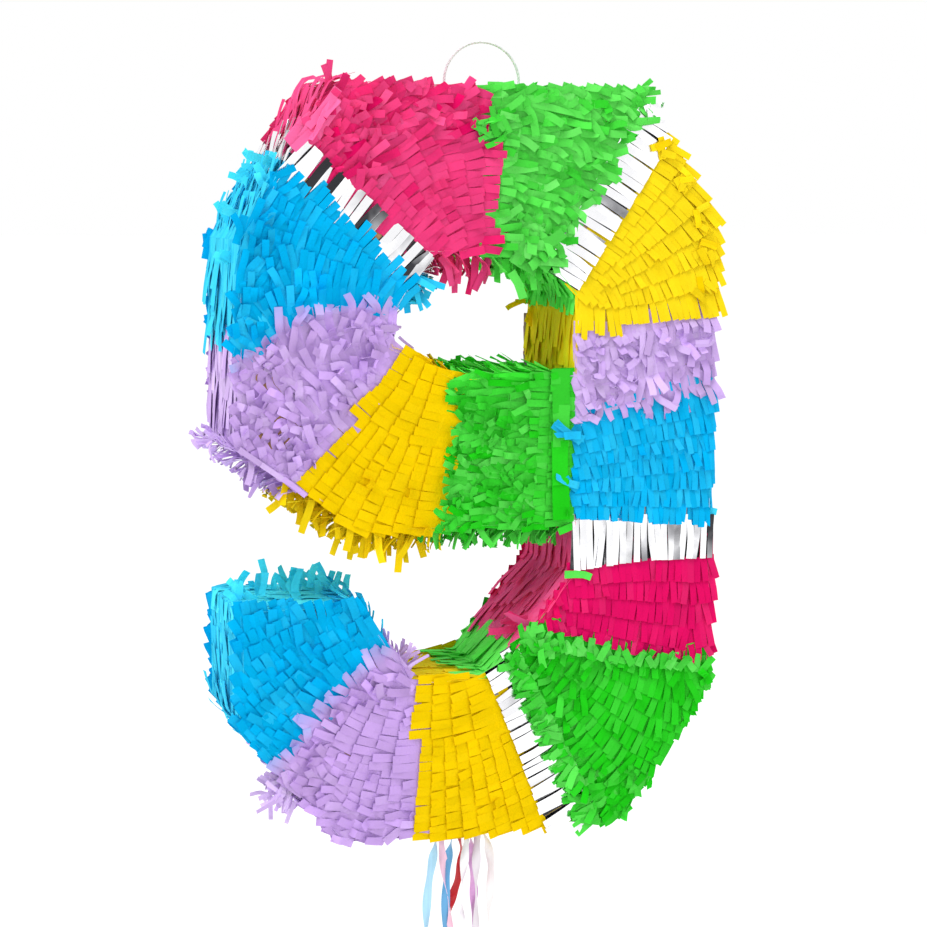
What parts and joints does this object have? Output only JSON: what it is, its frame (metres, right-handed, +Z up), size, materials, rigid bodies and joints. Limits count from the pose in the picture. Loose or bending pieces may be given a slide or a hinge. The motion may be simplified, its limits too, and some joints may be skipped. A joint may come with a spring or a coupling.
{
  "type": "number pinata",
  "caption": "Hanging cardboard figure nine dressed in bands of tissue fringe and foil, with a pull-ribbon trap door underneath and a fill flap in the back.",
  "frame": {"origin": "crown of the hanging loop, middle of its cord, at the numeral's mid depth", "axes": "+Z up along the hanging line, +X to the right of someone facing the numeral, front face towards -Y"},
  "size_m": [0.2794, 0.0888, 0.7235],
  "materials": {
    "board": "matte",
    "paper_tape": "matte",
    "tissue_pink": "matte",
    "tissue_green": "matte",
    "tissue_yellow": "matte",
    "tissue_lavender": "matte",
    "tissue_blue": "matte",
    "foil_silver": "polished",
    "loop_cord": "matte",
    "ribbon_sky_blue": "satin",
    "ribbon_pale_pink": "satin",
    "ribbon_mid_blue": "satin",
    "ribbon_white": "satin",
    "ribbon_lilac": "satin",
    "ribbon_silver": "satin",
    "ribbon_ivory": "satin",
    "ribbon_red": "satin"
  },
  "bodies": {
    "hanging_loop": {"hanging_loop": "loop_cord"},
    "shell": {"front_panel": "board", "back_panel": "board", "crown_wall": "board", "right_wall": "board", "foot_wall": "board", "arm_wall": "board", "notch_wall": "board", "bowl_wall": "board", "left_wall": "board", "base_wall": "board", "hole_wall": "board", "hanger_patch": "board", "corner_tapes": "paper_tape", "hanger_tail": "loop_cord", "ribbon_strip": "board", "tissue_pink_top": "tissue_pink", "tissue_green_top": "tissue_green", "foil_top_right": "foil_silver", "tissue_yellow_upper_right": "tissue_yellow", "tissue_lavender_right": "tissue_lavender", "tissue_blue_right": "tissue_blue", "foil_right": "foil_silver", "tissue_pink_right": "tissue_pink", "tissue_green_lower_right": "tissue_green", "foil_bottom": "foil_silver", "tissue_yellow_bottom": "tissue_yellow", "tissue_lavender_lower_left": "tissue_lavender", "tissue_blue_arm": "tissue_blue", "foil_top_left": "foil_silver", "tissue_blue_upper_left": "tissue_blue", "tissue_lavender_left": "tissue_lavender", "tissue_yellow_middle": "tissue_yellow", "tissue_green_middle": "tissue_green", "ribbon_sky_blue": "ribbon_sky_blue", "ribbon_pale_pink": "ribbon_pale_pink", "ribbon_mid_blue": "ribbon_mid_blue", "ribbon_white": "ribbon_white", "ribbon_lilac": "ribbon_lilac", "ribbon_silver": "ribbon_silver", "ribbon_ivory": "ribbon_ivory"},
    "fill_flap": {"fill_flap": "board", "tissue_fill_flap": "tissue_lavender"},
    "trap_door": {"trap_door": "board", "tissue_trap_door": "tissue_yellow", "release_tab": "board"},
    "release_ribbon": {"release_knot": "ribbon_red", "ribbon_red": "ribbon_red"}
  },
  "joints": [
    {"name": "loop_fold", "type": "hinge", "parent": "hanging_loop", "child": "shell", "pos_m": [0, 0, -0.0228], "axis": [1, 0, 0], "range_deg": [-60, 60]},
    {"name": "fill_flap_hinge", "type": "hinge", "parent": "shell", "child": "fill_flap", "pos_m": [0.0843, 0.04045, -0.154], "axis": [1, 0, 0], "range_deg": [0, 100]},
    {"name": "trap_door_hinge", "type": "hinge", "parent": "shell", "child": "trap_door", "pos_m": [-0.015, 0.032, -0.4391], "axis": [1, 0, 0], "range_deg": [0, 100]},
    {"name": "release_ribbon_swivel", "type": "hinge", "parent": "trap_door", "child": "release_ribbon", "pos_m": [-0.0185, -0.024, -0.4446], "axis": [1, 0, 0], "range_deg": [-100, 0]}
  ],
  "couplings": [
    {"joint": "release_ribbon_swivel", "follows": "trap_door_hinge", "ratio": -1}
  ]
}
